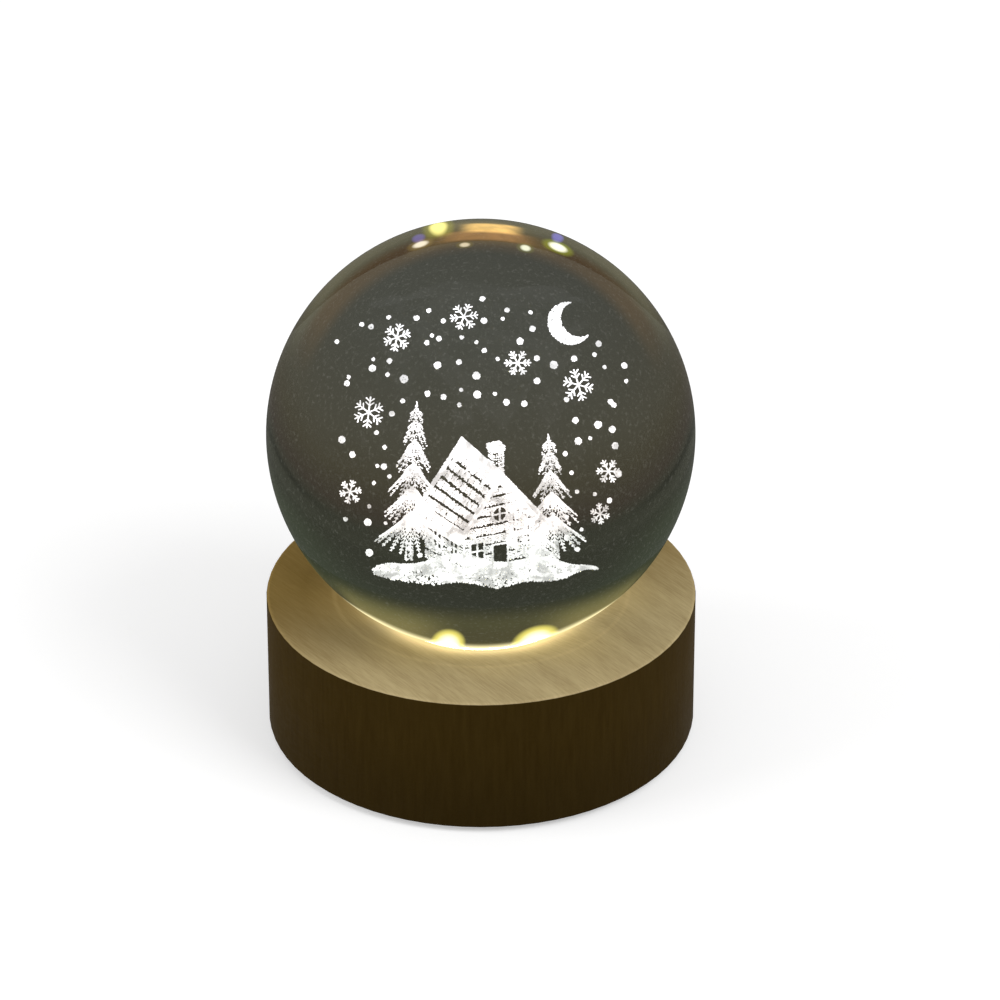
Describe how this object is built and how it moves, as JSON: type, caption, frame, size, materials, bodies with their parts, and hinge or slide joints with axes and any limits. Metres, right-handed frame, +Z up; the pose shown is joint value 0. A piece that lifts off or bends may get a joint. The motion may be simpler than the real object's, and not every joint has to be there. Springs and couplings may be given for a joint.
{
  "type": "crystal ball lamp",
  "caption": "Small table lamp: an engraved clear glass ball resting in a round wooden base with an LED ring under it, a USB-C port and a push button at the back.",
  "frame": {"origin": "on the table, under the middle of the round base", "axes": "+Z up through the middle of the base and the ball, -Y towards the front, +Y towards the port at the back, +X to the right seen from the front"},
  "size_m": [0.061, 0.061, 0.0767],
  "materials": {
    "crystal": "polished, slightly smoky clear crystal",
    "engraving": "white laser-marked dots inside the crystal",
    "wood": "satin: pale beech face on top, dark brown stained side",
    "acrylic": "clear cast acrylic",
    "white_plastic": "matt moulded white",
    "black_plastic": "satin moulded black",
    "cover_plastic": "finely textured moulded black",
    "board": "green solder resist",
    "led": "warm white phosphor",
    "steel": "bright nickel-plated",
    "wire_red": "smooth red insulation",
    "wire_black": "smooth black insulation",
    "foot_rubber": "matt"
  },
  "bodies": {
    "base": {"wooden_base": "wood", "light_window": "acrylic", "led_housing": "white_plastic", "led_board": "white_plastic", "led_1": "led", "led_2": "led", "led_3": "led", "led_4": "led", "led_5": "led", "led_6": "led", "led_resistor_1": "black_plastic", "led_resistor_2": "black_plastic", "led_resistor_3": "black_plastic", "housing_screw_1": "steel", "housing_screw_2": "steel", "housing_screw_3": "steel", "bottom_cover": "cover_plastic", "cover_screw_1": "steel", "cover_screw_2": "steel", "cover_screw_3": "steel", "foot_1": "foot_rubber", "foot_2": "foot_rubber", "foot_3": "foot_rubber", "foot_4": "foot_rubber", "control_board": "board", "board_screw_1": "steel", "board_screw_2": "steel", "port_resistor_1": "black_plastic", "port_resistor_2": "black_plastic", "usb_shell": "steel", "usb_tongue": "black_plastic", "usb_bezel": "black_plastic", "button_bush": "steel", "switch_body": "black_plastic", "wire_connector": "white_plastic", "wire_red": "wire_red", "wire_black": "wire_black"},
    "ball": {"crystal_ball": "crystal"},
    "button": {"power_button": "black_plastic", "switch_plunger": "white_plastic"}
  },
  "joints": [
    {"name": "ball_turn", "type": "hinge", "parent": "base", "child": "ball", "pos_m": [0, 0, 0.04667], "axis": [0, 0, 1], "continuous": true},
    {"name": "button_press", "type": "slide", "parent": "base", "child": "button", "axis": [-0.5299, -0.848, 0], "range_m": [0, 0.0012], "stiffness_N_per_m": 1200, "springref_m": -0.0008}
  ]
}
